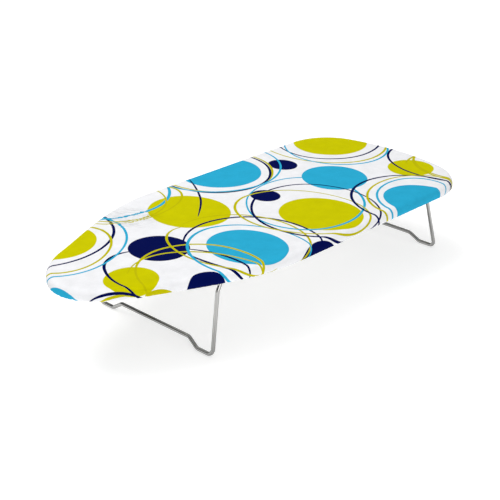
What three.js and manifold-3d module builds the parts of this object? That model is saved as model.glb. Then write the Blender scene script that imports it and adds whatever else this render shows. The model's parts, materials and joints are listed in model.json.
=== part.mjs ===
// Tabletop ironing board: a padded steel mesh board on two folding wire legs.
// Units are millimetres. +X runs from the nose to the tail, +Y to the left and +Z up.
// The origin is on the table, under the middle of the board.

import * as THREE from "three";
import { mergeVertices } from "three/addons/utils/BufferGeometryUtils.js";
import Module from "manifold-3d";

// ---- Overall size ----
const LENGTH = 730;
const WIDTH = 320;
const HEIGHT = 130;

// ---- Plan outline, measured from the nose tip and the centre line ----
const NOSE_END = [70, 85];
const NOSE_CONTROLS = [[0, 32], [27, 67]];
const TAPER_END_X = 298;
const TAPER_CONTROLS = [[133, 111], [212, WIDTH / 2]];
const CORNER_RADIUS = 86;
const TAIL_RADIUS = 383;

// ---- Layers of the board, from the top down ----
const GAP = 0.3;
const CLOTH = 0.6;
const FOAM = 5.2;
const MESH_SHEET = 1;
const TUBE_RADIUS = 4.5;
const EDGE_RADIUS = 9.4;
const ELASTIC_RADIUS = 1.1;
const ELASTIC_CLEARANCE = 1.3;
const ELASTIC_DROP = 3.2;
const WRAP_END_DEGREES = 315;

// ---- Steam holes in the mesh sheet ----
const HOLE_RADIUS = 8;
const HOLE_PITCH = 52;
const HOLE_MARGIN = 26;

// ---- Braces, saddles and rivets ----
const STEEL = 1.5;
const FLANGE = 1.2;
const HEAD_ROOM = 1.6;
const STOP_DEPTH = 10.3;
const STOP_HALF_WIDTH = 120;
const LIP_REACH = 11.5;
const LIP_DROP = 3.1;
const SADDLE_Y = 99;
const SADDLE_LENGTH = 14;
const SADDLE_REACH = 9.2;
const RIVET_OFFSET = 6.9;
const RIVET_RADIUS = 1.3;
const RIVET_HEAD_RADIUS = 2.2;
const RIVET_HEAD = 1;
const RIVET_CROWN = 0.8;
const RIVET_CROWN_RADIUS = 1.54;
const RIVET_SIDES = 12;
const DRILL_LENGTH = 8;

// ---- Wire legs ----
const WIRE_RADIUS = 3;
const LEG_HALF_WIDTH = 118;
const PIN_INNER = 88;
const CRANK_HEIGHT = 96;
const CRANK_DEGREES = 20;
const FOOT_OUTER = 121;
const FOOT_INNER = 90;
const BAR_HALF_WIDTH = 72;
const BAR_HEIGHT = 14.5;
const PIN_BEND = 7;
const CRANK_BEND = 14;
const FOOT_BEND = 10;
const BEND_STEPS = 5;
const WIRE_SIDES = 12;
const NOSE_LEG = { name: "nose", side: -1, footX: -199, splay: 8.5 };
const TAIL_LEG = { name: "tail", side: 1, footX: 314, splay: 15.5 };

// ---- Heights that follow from the layers ----
const PAD_TOP = HEIGHT - CLOTH - GAP;
const PAD_BOTTOM = PAD_TOP - FOAM;
const SHEET_TOP = PAD_BOTTOM - GAP;
const SHEET_BOTTOM = SHEET_TOP - MESH_SHEET;
const TUBE_Z = SHEET_BOTTOM - GAP - TUBE_RADIUS;
const TUBE_INSET = CLOTH + GAP + TUBE_RADIUS;
const WEB_TOP = SHEET_BOTTOM - HEAD_ROOM;
const WEB_BOTTOM = WEB_TOP - STEEL;
const PIVOT_Z = WEB_BOTTOM - GAP - WIRE_RADIUS;

const radians = THREE.MathUtils.degToRad;
const wasm = await Module();
wasm.setup();

// ---- Solids by cutting and joining ----

function toSolid(geometry) {
  const bare = geometry.clone();
  bare.deleteAttribute("normal");
  bare.deleteAttribute("uv");
  const merged = mergeVertices(bare, 1e-4);
  return new wasm.Manifold(new wasm.Mesh({
    numProp: 3,
    vertProperties: merged.attributes.position.array,
    triVerts: new Uint32Array(merged.index.array),
  }));
}

function toGeometry(solid) {
  const mesh = solid.getMesh();
  const geometry = new THREE.BufferGeometry();
  geometry.setAttribute("position", new THREE.BufferAttribute(mesh.vertProperties, 3));
  geometry.setIndex(new THREE.BufferAttribute(mesh.triVerts, 1));
  return geometry;
}

// ---- The board's outline ----

// Points of the left half, from the nose tip to the middle of the tail, each with the
// unit normal that points into the board.
function halfOutline() {
  const half = WIDTH / 2;
  const at = (x, y) => new THREE.Vector2(x, y);
  const nose = new THREE.CubicBezierCurve(
    at(0, 0), at(...NOSE_CONTROLS[0]), at(...NOSE_CONTROLS[1]), at(...NOSE_END));
  const taper = new THREE.CubicBezierCurve(
    at(...NOSE_END), at(...TAPER_CONTROLS[0]), at(...TAPER_CONTROLS[1]), at(TAPER_END_X, half));
  const tailCentre = LENGTH - TAIL_RADIUS;
  const cornerY = half - CORNER_RADIUS;
  const cornerX = tailCentre + Math.sqrt((TAIL_RADIUS - CORNER_RADIUS) ** 2 - cornerY ** 2);
  const join = Math.atan2(cornerY, cornerX - tailCentre);
  const side = new THREE.LineCurve(at(TAPER_END_X, half), at(cornerX, half));
  const corner = new THREE.EllipseCurve(
    cornerX, cornerY, CORNER_RADIUS, CORNER_RADIUS, Math.PI / 2, join, true);
  const tail = new THREE.EllipseCurve(tailCentre, 0, TAIL_RADIUS, TAIL_RADIUS, join, 0, true);
  const runs = [[nose, 9], [taper, 9], [side, 6], [corner, 9], [tail, 3]];
  const stations = [];
  for (const [curve, steps] of runs) {
    for (let i = 0; i < steps; i++) {
      stations.push({ point: curve.getPoint(i / steps), tangent: curve.getTangent(i / steps) });
    }
  }
  stations.push({ point: tail.getPoint(1), tangent: tail.getTangent(1) });
  return stations.map(({ point, tangent }) => ({
    x: point.x - LENGTH / 2,
    y: point.y,
    inward: new THREE.Vector2(tangent.y, -tangent.x),
  }));
}

// The whole outline, clockwise seen from above: the left half, then its mirror image.
function wholeOutline() {
  const left = halfOutline();
  const right = left.slice(1, -1).reverse().map(({ x, y, inward }) => ({
    x,
    y: -y,
    inward: new THREE.Vector2(inward.x, -inward.y),
  }));
  return [...left, ...right];
}

const OUTLINE = wholeOutline();

function insetOutline(inset) {
  return OUTLINE.map(({ x, y, inward }) => new THREE.Vector2(
    x + inward.x * inset,
    y + inward.y * inset,
  ));
}

// Half the width of the inset outline at x.
function halfWidthAt(x, inset) {
  const left = insetOutline(inset).slice(0, Math.floor(OUTLINE.length / 2) + 1);
  const i = left.findIndex((p) => p.x > x);
  const [a, b] = [left[i - 1], left[i]];
  return THREE.MathUtils.mapLinear(x, a.x, b.x, a.y, b.y);
}

// ---- Solids that follow the outline ----

function ringVertices(rings) {
  return rings.flatMap(([inset, z]) => insetOutline(inset).flatMap((p) => [p.x, p.y, z]));
}

// Faces between one ring and the next. They point out where the rings run up the outside.
function wallTriangles(from, to) {
  const n = OUTLINE.length;
  const faces = [];
  for (let i = 0; i < n; i++) {
    const j = (i + 1) % n;
    const [a, b, c, d] = [from * n + i, from * n + j, to * n + j, to * n + i];
    faces.push(a, c, b, a, d, c);
  }
  return faces;
}

function indexedGeometry(vertices, faces) {
  const geometry = new THREE.BufferGeometry();
  geometry.setAttribute("position", new THREE.Float32BufferAttribute(vertices, 3));
  geometry.setIndex(faces);
  geometry.computeVertexNormals();
  return geometry;
}

// A closed bar that runs all round the board. The section is a list of [inset, z].
function hoop(section) {
  const faces = section.flatMap((_, k) => wallTriangles(k, (k + 1) % section.length));
  return indexedGeometry(ringVertices(section), faces);
}

// The flat face inside a ring, in strips that cross from each left point to its mirror image.
function capTriangles(ring) {
  const n = OUTLINE.length;
  const faces = [];
  for (let i = 0; i < n / 2; i++) {
    const [a, b] = [ring * n + i, ring * n + i + 1];
    const [c, d] = [ring * n + (n - i - 1) % n, ring * n + (n - i) % n];
    if (i < n / 2 - 1) {
      faces.push(a, c, b);
    }
    if (i > 0) {
      faces.push(a, d, c);
    }
  }
  return faces;
}

// A solid of stacked rings, closed by a flat face inside its first and last ring.
function layer(rings) {
  const walls = rings.slice(1).flatMap((_, k) => wallTriangles(k, k + 1));
  const bottom = capTriangles(0).reverse();
  const top = capTriangles(rings.length - 1);
  return indexedGeometry(ringVertices(rings), [...walls, ...bottom, ...top]);
}

// Points on an arc in the section plane, from one angle to another in degrees.
// 90 is straight up and 180 is straight out from the board.
function sectionArc(inset, z, radius, from, to, steps) {
  return Array.from({ length: steps + 1 }, (_, i) => {
    const angle = radians(THREE.MathUtils.lerp(from, to, i / steps));
    return [inset + radius * Math.cos(angle), z + radius * Math.sin(angle)];
  });
}

function edgeFrame() {
  return hoop(sectionArc(TUBE_INSET, TUBE_Z, TUBE_RADIUS, 0, -324, 9));
}

function hemElastic() {
  const inset = TUBE_INSET + TUBE_RADIUS + ELASTIC_CLEARANCE;
  return hoop(sectionArc(inset, TUBE_Z - ELASTIC_DROP, ELASTIC_RADIUS, 0, -300, 5));
}

// The cover's surface at some depth into the cloth, from its hem up to its flat top.
function clothSurface(depth) {
  const under = sectionArc(TUBE_INSET, TUBE_Z, TUBE_INSET - depth, WRAP_END_DEGREES, 180, 5);
  const over = sectionArc(
    EDGE_RADIUS, HEIGHT - EDGE_RADIUS, EDGE_RADIUS - depth, 180, 90, 4);
  return [...under, ...over];
}

function cover() {
  return layer([...clothSurface(CLOTH).reverse(), ...clothSurface(0)]);
}

function foamPad() {
  const radius = EDGE_RADIUS - CLOTH - GAP;
  const centreZ = HEIGHT - EDGE_RADIUS;
  const start = 180 - THREE.MathUtils.radToDeg(Math.asin((PAD_BOTTOM - centreZ) / radius));
  return layer(sectionArc(EDGE_RADIUS, centreZ, radius, start, 90, 4));
}

// ---- Flat sheet with staggered six-sided steam holes ----

function holeCentres() {
  const edge = insetOutline(0);
  const rowStep = HOLE_PITCH * Math.sin(Math.PI / 3);
  const rows = Math.floor(WIDTH / 2 / rowStep);
  const columns = Math.floor(LENGTH / 2 / HOLE_PITCH);
  const centres = [];
  for (let row = -rows; row <= rows; row++) {
    const shift = row % 2 === 0 ? 0 : HOLE_PITCH / 2;
    for (let column = -columns; column <= columns; column++) {
      const centre = new THREE.Vector2(column * HOLE_PITCH + shift, row * rowStep);
      const inside = Math.abs(centre.x) < LENGTH / 2 - HOLE_MARGIN
        && Math.abs(centre.y) < halfWidthAt(centre.x, HOLE_MARGIN);
      if (inside && edge.every((p) => p.distanceTo(centre) > HOLE_MARGIN)) {
        centres.push(centre);
      }
    }
  }
  return centres;
}

function meshTop() {
  const shape = new THREE.Shape(insetOutline(TUBE_INSET));
  for (const centre of holeCentres()) {
    const corners = Array.from({ length: 6 }, (_, i) => new THREE.Vector2(
      centre.x + HOLE_RADIUS * Math.cos(i * Math.PI / 3),
      centre.y + HOLE_RADIUS * Math.sin(i * Math.PI / 3),
    ));
    shape.holes.push(new THREE.Path(corners));
  }
  const sheet = new THREE.ExtrudeGeometry(shape, { depth: MESH_SHEET, bevelEnabled: false });
  return sheet.translate(0, 0, SHEET_BOTTOM);
}

// ---- Where each leg turns ----

// Above its crank the leg leans further in, towards the middle of the board.
function upperLean(leg) {
  return radians(leg.splay + CRANK_DEGREES);
}

function crankX(leg) {
  return leg.footX - leg.side * (CRANK_HEIGHT - WIRE_RADIUS) * Math.tan(radians(leg.splay));
}

function pivotX(leg) {
  return crankX(leg) - leg.side * (PIVOT_Z - CRANK_HEIGHT) * Math.tan(upperLean(leg));
}

// ---- Braces: a web across the frame, a deep flange that stops the open leg, and a lip ----

function box(low, high) {
  const size = high.map((value, k) => value - low[k]);
  const middle = high.map((value, k) => (value + low[k]) / 2);
  return new THREE.BoxGeometry(...size).translate(...middle);
}

function rivetSpots() {
  const spots = [];
  for (const x of [-RIVET_OFFSET, RIVET_OFFSET]) {
    for (const y of [-SADDLE_Y, SADDLE_Y]) {
      spots.push([x, y]);
    }
  }
  return spots;
}

function drill(x, y) {
  const radius = RIVET_RADIUS + GAP;
  const cutter = new THREE.CylinderGeometry(radius, radius, DRILL_LENGTH, RIVET_SIDES);
  return toSolid(cutter.rotateX(Math.PI / 2).translate(x, y, WEB_BOTTOM));
}

function brace(leg) {
  const lean = upperLean(leg);
  const stop = STOP_DEPTH * Math.tan(lean) + WIRE_RADIUS / Math.cos(lean) + GAP;
  const outer = leg.side * (stop + FLANGE);
  const inner = -leg.side * LIP_REACH;
  const weldInset = TUBE_INSET + TUBE_RADIUS;
  const [outerY, innerY] = [outer, inner].map((x) => halfWidthAt(pivotX(leg) + x, weldInset));
  const plan = [[outer, -outerY], [inner, -innerY], [inner, innerY], [outer, outerY]];
  const shape = new THREE.Shape(plan.map(([x, y]) => new THREE.Vector2(x, y)));
  const web = new THREE.ExtrudeGeometry(shape, { depth: STEEL, bevelEnabled: false });
  const across = (from, to, bottom) => toSolid(box(
    [Math.min(from, to), -STOP_HALF_WIDTH, bottom],
    [Math.max(from, to), STOP_HALF_WIDTH, WEB_BOTTOM + STEEL / 2],
  ));
  let solid = toSolid(web.translate(0, 0, WEB_BOTTOM))
    .add(across(outer, leg.side * stop, PIVOT_Z - STOP_DEPTH))
    .add(across(inner, inner + leg.side * FLANGE, WEB_BOTTOM - LIP_DROP));
  for (const [x, y] of rivetSpots()) {
    solid = solid.subtract(drill(x, y));
  }
  return toGeometry(solid);
}

// ---- Saddles: a strap bent round the pin of a leg, with a riveted foot on each side ----

function saddle() {
  const inner = WIRE_RADIUS + GAP;
  const outer = inner + FLANGE;
  const top = WEB_BOTTOM - GAP - PIVOT_Z;
  const shape = new THREE.Shape();
  shape.moveTo(-SADDLE_REACH, top);
  shape.lineTo(-SADDLE_REACH, top - FLANGE);
  shape.lineTo(-outer, top - FLANGE);
  shape.lineTo(-outer, 0);
  shape.absarc(0, 0, outer, Math.PI, 2 * Math.PI, false);
  shape.lineTo(outer, top - FLANGE);
  shape.lineTo(SADDLE_REACH, top - FLANGE);
  shape.lineTo(SADDLE_REACH, top);
  shape.lineTo(inner, top);
  shape.lineTo(inner, 0);
  shape.absarc(0, 0, inner, 2 * Math.PI, Math.PI, true);
  shape.lineTo(-inner, top);
  const strap = new THREE.ExtrudeGeometry(shape, {
    depth: SADDLE_LENGTH,
    bevelEnabled: false,
    curveSegments: 8,
  });
  strap.rotateX(Math.PI / 2).translate(0, SADDLE_LENGTH / 2, 0);
  let solid = toSolid(strap);
  for (const x of [-RIVET_OFFSET, RIVET_OFFSET]) {
    solid = solid.subtract(drill(x, 0).translate(0, 0, -PIVOT_Z));
  }
  return toGeometry(solid);
}

// A rivet with its lower head under the saddle's foot and its upper head on the web.
function rivet() {
  const headTop = WEB_TOP + GAP;
  const headBottom = WEB_BOTTOM - 2 * GAP - FLANGE;
  const profile = [
    [0, headBottom - RIVET_HEAD],
    [RIVET_CROWN_RADIUS, headBottom - RIVET_CROWN],
    [RIVET_HEAD_RADIUS, headBottom],
    [RIVET_RADIUS, headBottom],
    [RIVET_RADIUS, headTop],
    [RIVET_HEAD_RADIUS, headTop],
    [RIVET_CROWN_RADIUS, headTop + RIVET_CROWN],
    [0, headTop + RIVET_HEAD],
  ];
  const points = profile.map(([radius, height]) => new THREE.Vector2(radius, height));
  return new THREE.LatheGeometry(points, RIVET_SIDES).rotateX(Math.PI / 2);
}

// ---- Wire legs ----

// A wire's centre line, given by stations that lie close together only in its bends.
class WireLine extends THREE.Curve {
  constructor(stations) {
    super();
    this.stations = stations;
  }

  getPointAt(u, target = new THREE.Vector3()) {
    const at = u * (this.stations.length - 1);
    const i = Math.min(Math.floor(at + 1e-9), this.stations.length - 2);
    return target.lerpVectors(this.stations[i], this.stations[i + 1], at - i);
  }

  getTangentAt(u, target = new THREE.Vector3()) {
    const last = this.stations.length - 1;
    const i = Math.round(u * last);
    const here = this.stations[i];
    const before = here.clone().sub(this.stations[Math.max(i - 1, 0)]).normalize();
    const after = this.stations[Math.min(i + 1, last)].clone().sub(here).normalize();
    return target.addVectors(before, after).normalize();
  }
}

// Stations along a bent wire: its two ends, and an arc in place of each corner.
function bentStations(corners, steps) {
  const stations = [corners[0].at];
  for (let k = 1; k < corners.length - 1; k++) {
    const { at, bend } = corners[k];
    const back = corners[k - 1].at.clone().sub(at).normalize();
    const on = corners[k + 1].at.clone().sub(at).normalize();
    const half = back.angleTo(on) / 2;
    const towards = back.clone().add(on).normalize();
    const centre = at.clone().addScaledVector(towards, bend / Math.sin(half));
    const start = at.clone().addScaledVector(back, bend / Math.tan(half)).sub(centre);
    const axis = back.clone().cross(start).normalize();
    for (let i = 0; i <= steps; i++) {
      const angle = (Math.PI - 2 * half) * i / steps;
      stations.push(start.clone().applyAxisAngle(axis, angle).add(centre));
    }
  }
  stations.push(corners[corners.length - 1].at);
  return stations;
}

function wireLeg(leg) {
  const barX = leg.footX - leg.side * (BAR_HEIGHT - WIRE_RADIUS) * Math.tan(radians(leg.splay));
  const corner = (x, y, z, bend) => ({ at: new THREE.Vector3(x, y, z), bend });
  const left = [
    corner(pivotX(leg), PIN_INNER, PIVOT_Z, 0),
    corner(pivotX(leg), LEG_HALF_WIDTH, PIVOT_Z, PIN_BEND),
    corner(crankX(leg), LEG_HALF_WIDTH, CRANK_HEIGHT, CRANK_BEND),
    corner(leg.footX, FOOT_OUTER, WIRE_RADIUS, FOOT_BEND),
    corner(leg.footX, FOOT_INNER, WIRE_RADIUS, FOOT_BEND),
    corner(barX, BAR_HALF_WIDTH, BAR_HEIGHT, FOOT_BEND),
  ];
  const right = left.slice().reverse().map(({ at, bend }) => corner(at.x, -at.y, at.z, bend));
  const stations = bentStations([...left, ...right], BEND_STEPS);
  const section = Array.from({ length: WIRE_SIDES }, (_, i) => new THREE.Vector2(
    WIRE_RADIUS * Math.cos(2 * Math.PI * i / WIRE_SIDES),
    WIRE_RADIUS * Math.sin(2 * Math.PI * i / WIRE_SIDES),
  ));
  return new THREE.ExtrudeGeometry(new THREE.Shape(section), {
    steps: stations.length - 1,
    extrudePath: new WireLine(stations),
  });
}

// ---- Materials ----

const paint = (color, roughness, metalness) => (
  () => new THREE.MeshStandardMaterial({ color, roughness, metalness })
);
const cotton = paint(0xf4f5f6, 0.85, 0);
const felt = paint(0xe9e6dd, 0.95, 0);
const rubber = paint(0xf1f0ec, 0.8, 0);
const whitePaint = paint(0xd9dbdc, 0.45, 0.3);
const zinc = paint(0xb9bcbd, 0.4, 0.9);
const wireSteel = paint(0xa9aaa8, 0.32, 1);

// ---- The assembly ----

const board = new THREE.Group();

function place(name, geometry, material, x = 0, y = 0, z = 0) {
  const mesh = new THREE.Mesh(geometry, material());
  mesh.name = name;
  mesh.position.set(x, y, z);
  board.add(mesh);
}

place("cover", cover(), cotton);
place("foam_pad", foamPad(), felt);
place("mesh_top", meshTop(), whitePaint);
place("edge_frame", edgeFrame(), whitePaint);
place("hem_elastic", hemElastic(), rubber);

for (const leg of [NOSE_LEG, TAIL_LEG]) {
  place(`${leg.name}_leg`, wireLeg(leg), wireSteel);
  place(`${leg.name}_brace`, brace(leg), whitePaint, pivotX(leg));
  for (const [hand, sign] of [["left", 1], ["right", -1]]) {
    const y = sign * SADDLE_Y;
    place(`${leg.name}_saddle_${hand}`, saddle(), zinc, pivotX(leg), y, PIVOT_Z);
    for (const [end, offset] of [["a", -RIVET_OFFSET], ["b", RIVET_OFFSET]]) {
      place(`${leg.name}_rivet_${hand}_${end}`, rivet(), zinc, pivotX(leg) + offset, y);
    }
  }
}

export default board;
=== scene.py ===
"""Looks of the tabletop ironing board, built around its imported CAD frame. Metres, +Z up.

+X runs from the nose to the tail and +Y to the left, as in the CAD source.
"""

import json
import math

import bmesh
import bpy
import numpy as np
from mathutils import Matrix, Vector, noise
from mathutils.geometry import delaunay_2d_cdt


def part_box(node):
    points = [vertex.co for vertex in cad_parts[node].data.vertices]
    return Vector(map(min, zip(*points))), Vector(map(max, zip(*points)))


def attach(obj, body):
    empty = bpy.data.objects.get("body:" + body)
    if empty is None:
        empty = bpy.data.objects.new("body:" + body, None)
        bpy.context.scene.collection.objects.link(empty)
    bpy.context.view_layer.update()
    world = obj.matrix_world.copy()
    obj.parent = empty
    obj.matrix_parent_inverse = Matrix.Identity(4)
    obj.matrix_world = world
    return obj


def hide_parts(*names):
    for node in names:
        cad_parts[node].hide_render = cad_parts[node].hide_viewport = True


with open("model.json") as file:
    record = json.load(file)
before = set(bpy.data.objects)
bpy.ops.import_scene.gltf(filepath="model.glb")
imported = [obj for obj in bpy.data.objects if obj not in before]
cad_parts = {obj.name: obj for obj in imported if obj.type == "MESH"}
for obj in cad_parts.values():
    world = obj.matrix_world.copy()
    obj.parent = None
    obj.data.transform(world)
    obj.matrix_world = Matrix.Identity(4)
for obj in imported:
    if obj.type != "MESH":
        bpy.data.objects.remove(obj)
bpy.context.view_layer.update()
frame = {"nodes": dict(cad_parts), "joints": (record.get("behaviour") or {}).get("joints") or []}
MM = 0.001

# ---- Sizes read from the frame ----
COVER_LOW, COVER_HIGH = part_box("cover")
TOP = COVER_HIGH.z
HALF_WIDTH = COVER_HIGH.y
NOSE_X = COVER_LOW.x
TAIL_X = COVER_HIGH.x
PAD_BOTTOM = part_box("foam_pad")[0].z
SHEET_LOW, SHEET_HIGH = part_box("mesh_top")
TUBE_LOW, TUBE_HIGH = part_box("edge_frame")
TUBE_RADIUS = (TUBE_HIGH.z - TUBE_LOW.z) / 2
TUBE_Z = TUBE_LOW.z + TUBE_RADIUS
TUBE_INSET = TUBE_LOW.x + TUBE_RADIUS - NOSE_X
ELASTIC_LOW, ELASTIC_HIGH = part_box("hem_elastic")
ELASTIC_Z = (ELASTIC_LOW.z + ELASTIC_HIGH.z) / 2
PIVOTS = {joint["child"]: Vector(joint["pos_m"]) for joint in frame["joints"]}

# ---- The board's plan outline, measured from the nose tip and the centre line ----
NOSE_CURVE = ((0.0, 0.0), (0.0, 0.032), (0.027, 0.067), (0.070, 0.085))
TAPER_CURVE = ((0.070, 0.085), (0.133, 0.111), (0.212, HALF_WIDTH), (0.298, HALF_WIDTH))
CORNER_RADIUS = 0.086
TAIL_RADIUS = 0.383

# ---- The cloth cover and the pad ----
EDGE_RADIUS = 0.0094
CLOTH = 0.0005
PAD_RADIUS = 0.0085
CASING_RADIUS = 0.0019
CASING_TURN = math.radians(250)
# Mesh spacing: round the cover, the bars and the cord, then down the cover and on its top.
RIM_STEP = 0.0016
BAR_STEP = 0.003
CORD_STEP = 0.002
SECTION_STEP = 0.0015
TOP_STEP = 0.0042

# ---- Wire legs ----
WIRE_RADIUS = 0.003
PIN_INNER = 0.088
LEG_HALF_WIDTH = 0.118
CRANK_HEIGHT = 0.096
CRANK_ANGLE = math.radians(20)
SPLAY_GUESS = math.radians(12)
SPLAY_ROUNDS = 20
FOOT_OUTER = 0.121
FOOT_INNER = 0.090
BAR_HALF_WIDTH = 0.072
BAR_HEIGHT = 0.0145
PIN_BEND = 0.007
CRANK_BEND = 0.014
FOOT_BEND = 0.010
LEG_SIDES = {"nose_leg": -1, "tail_leg": 1}

# ---- The print ----
LIME = (0.570, 0.545, 0.0)
LIME_LINE = (0.500, 0.465, 0.002)
TURQUOISE = (0.024, 0.390, 0.620)
NAVY = (0.0006, 0.0036, 0.070)
WHITE = (0.85, 0.853, 0.872)


# ---- Camera and lights ----

CAMERA_AT = Vector((-1.2146, -1.1758, 0.8286))
CAMERA_TARGET = Vector((-0.0627, -0.0610, 0.1))
LENS_MM = 87.3
SENSOR_MM = 36
VIEW_DEPTH = 50
LIGHTS_AIM = Vector((0, 0, 0.1))
# Each light's name, place, size and power in watts.
LIGHTS = (
    ("key", (-0.4, 0.9, 2.5), 1.8, 41),
    ("front", (-1.2, -2.2, 1.0), 1.2, 19),
)


def link_object(name, data):
    holder = bpy.data.objects.new(name, data)
    bpy.context.scene.collection.objects.link(holder)
    return holder


def add_aimed(name, data, at, target):
    """An object for a camera or a light, turned to face its target."""
    holder = link_object(name, data)
    holder.location = at
    holder.rotation_euler = (target - Vector(at)).to_track_quat("-Z", "Y").to_euler()
    return holder


def add_camera():
    camera = bpy.data.cameras.new("camera")
    camera.lens = LENS_MM
    camera.sensor_width = SENSOR_MM
    camera.clip_end = VIEW_DEPTH
    bpy.context.scene.camera = add_aimed("camera", camera, CAMERA_AT, CAMERA_TARGET)


def add_area_light(name, at, size, power):
    light = bpy.data.lights.new(name, "AREA")
    light.shape = "SQUARE"
    light.size = size
    light.energy = power
    add_aimed(name, light, at, LIGHTS_AIM)


# ---- Material helpers ----

def add_node(tree, kind, inputs=(), **settings):
    """A new shader node. inputs maps its sockets to values or to other nodes' outputs."""
    node = tree.nodes.new("ShaderNode" + kind)
    for key, value in settings.items():
        setattr(node, key, value)
    for key, value in dict(inputs).items():
        if isinstance(value, bpy.types.NodeSocket):
            tree.links.new(value, node.inputs[key])
        else:
            node.inputs[key].default_value = value
    return node


def calculate(tree, operation, *values):
    return add_node(tree, "Math", dict(enumerate(values)), operation=operation).outputs[0]


def opaque(colour):
    return (*colour, 1)


def mix_colours(tree, factor, a, b):
    return add_node(tree, "Mix", {0: factor, 6: a, 7: b}, data_type="RGBA").outputs[2]


def vector_length(tree, vector):
    return add_node(tree, "VectorMath", {0: vector}, operation="LENGTH").outputs["Value"]


def vector_sum(tree, a, b):
    return add_node(tree, "VectorMath", {0: a, 1: b}).outputs[0]


def scaled(tree, vector, factor):
    return add_node(tree, "VectorMath", {0: vector, 3: factor}, operation="SCALE").outputs[0]


def new_material(name, **sockets):
    """A material with one Principled shader. Returns it, its node tree and the shader."""
    material = bpy.data.materials.new(name)
    material.use_nodes = True
    tree = material.node_tree
    shader = tree.nodes["Principled BSDF"]
    for key, value in sockets.items():
        shader.inputs[key.replace("_", " ")].default_value = value
    return material, tree, shader


def feed(tree, shader, **values):
    """Links values to the shader's inputs of these names."""
    for key, value in values.items():
        tree.links.new(value, shader.inputs[key.replace("_", " ")])


def uv_place(tree, name):
    return add_node(tree, "UVMap", uv_map=name).outputs[0]


def object_place(tree):
    return add_node(tree, "TexCoord").outputs["Object"]


def noise_at(tree, place, scale, detail=3.0, roughness=0.5):
    inputs = {"Vector": place, "Scale": scale, "Detail": detail, "Roughness": roughness}
    return add_node(tree, "TexNoise", inputs).outputs["Fac"]


def ramp(tree, value, low, high, to_low=0.0, to_high=1.0):
    inputs = {0: value, 1: low, 2: high, 3: to_low, 4: to_high}
    return add_node(tree, "MapRange", inputs).outputs[0]


def wave_scale(pitch):
    """The wave texture's scale that puts its bands this far apart."""
    return 2 * math.pi / (20 * pitch)


def add_bump(tree, shader, height, distance, strength, under=None):
    """Bump on the shader, over an earlier one if there is one."""
    inputs = {"Height": height, "Distance": distance, "Strength": strength}
    if under is not None:
        inputs["Normal"] = under
    bump = add_node(tree, "Bump", inputs).outputs[0]
    feed(tree, shader, Normal=bump)
    return bump


# ---- The cover's print ----

# Motifs on the flat cloth, in millimetres and degrees.
# Discs: ink, centre, radii.
DISCS = (
    ("lime", (-283, 113), (61, 61)),
    ("lime", (-286, -58), (38, 37)),
    ("lime", (-73, 56), (58, 66)),
    ("lime", (58, -92), (59, 66)),
    ("lime", (310, 106), (64, 62)),
    ("lime", (307, -69), (37, 38)),
    ("turquoise", (-417, -18), (52, 74)),
    ("turquoise", (-104, -95), (54, 62)),
    ("turquoise", (75, 138), (66, 66)),
    ("turquoise", (186, -9), (51, 54)),
    ("turquoise", (210, -165), (55, 62)),
    ("navy", (-194, -11), (42, 44)),
    ("navy", (-217, -138), (28, 28)),
    ("navy", (-27, -195), (44, 41)),
    ("navy", (52, 17), (22, 25)),
    ("navy", (171, 90), (22, 26)),
)
# Rings: ink, centre, radii, tilt, line width, and the way in which the line is widest.
RINGS = (
    ("navy", (-295, 160), (115, 125), 50, 3.5, -35),
    ("lime", (-285, 80), (80, 60), 30, 3.5, -35),
    ("turquoise", (-275, 90), (105, 80), 30, 3.3, -20),
    ("lime", (-205, -110), (85, 95), 0, 3.6, 20),
    ("navy", (320, 120), (100, 90), 35, 3.3, -60),
    ("lime", (310, 130), (105, 125), -10, 3.3, -60),
    ("turquoise", (300, 85), (85, 90), -5, 3.2, -90),
    ("navy", (370, -95), (80, 105), 0, 3.6, 180),
    ("lime", (385, -125), (80, 90), 0, 3.4, 150),
    ("lime", (395, -120), (85, 90), 0, 3.2, 150),
    ("lime", (75, 150), (90, 95), 0, 3.2, -90),
    ("navy", (70, 150), (90, 95), 0, 3.4, -60),
    ("turquoise", (85, 165), (110, 110), 0, 3.2, -120),
    ("turquoise", (-145, 285), (130, 190), 20, 3.6, -60),
    ("lime", (-125, 160), (75, 75), 0, 2.6, -90),
    ("lime", (-115, 140), (90, 60), 0, 2.8, -25),
    ("turquoise", (-110, -110), (80, 100), 0, 3.6, 150),
    ("turquoise", (75, -45), (90, 105), 130, 3.6, -60),
    ("navy", (65, -75), (105, 95), 70, 3.6, 180),
    ("lime", (45, -65), (80, 105), 20, 3.4, 180),
    ("navy", (205, -155), (100, 95), 85, 3.6, 120),
    ("lime", (220, -155), (80, 90), 100, 3.4, 150),
    ("turquoise", (215, -150), (60, 75), 120, 3.4, 120),
)
# Tapered arcs: ink, centre, radii, tilt, line width, and the arc's middle and half span.
STROKES = (
    ("navy", (-263, 278), (308, 308), 0, 3.4, -38, 15),
    ("navy", (-385, -154), (104, 104), 0, 4.2, 53, 22),
    ("lime", (-364, -145), (80, 80), 0, 4.0, 66, 13),
    ("lime", (-306, -159), (60, 60), 0, 5.0, 61, 9),
    ("navy", (-251, -62), (56, 76), 0, 4.6, 137, 86),
    ("navy", (-279, -115), (132, 132), 0, 4.2, 7, 30),
    ("navy", (45, -73), (225, 225), 0, 4.8, 190, 15),
    ("navy", (-93, -97), (95, 104), 0, 4.6, 42, 118),
    ("lime", (-127, -72), (59, 95), 5, 4.4, 180, 105),
    ("lime", (-227, -154), (94, 131), 4, 3.8, 30, 92),
    ("lime", (366, -140), (100, 100), 0, 3.6, 105, 10),
    ("lime", (-102, -77), (96, 105), 0, 3.8, 0, 100),
)
# How much wider and narrower than its mean width a ring's line is.
LINE_SWING = 0.22
# How soft the printed edges are, as shares of a line's half width and of a disc's radius.
LINE_BLUR = 0.08
DISC_BLUR = 0.005
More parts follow.
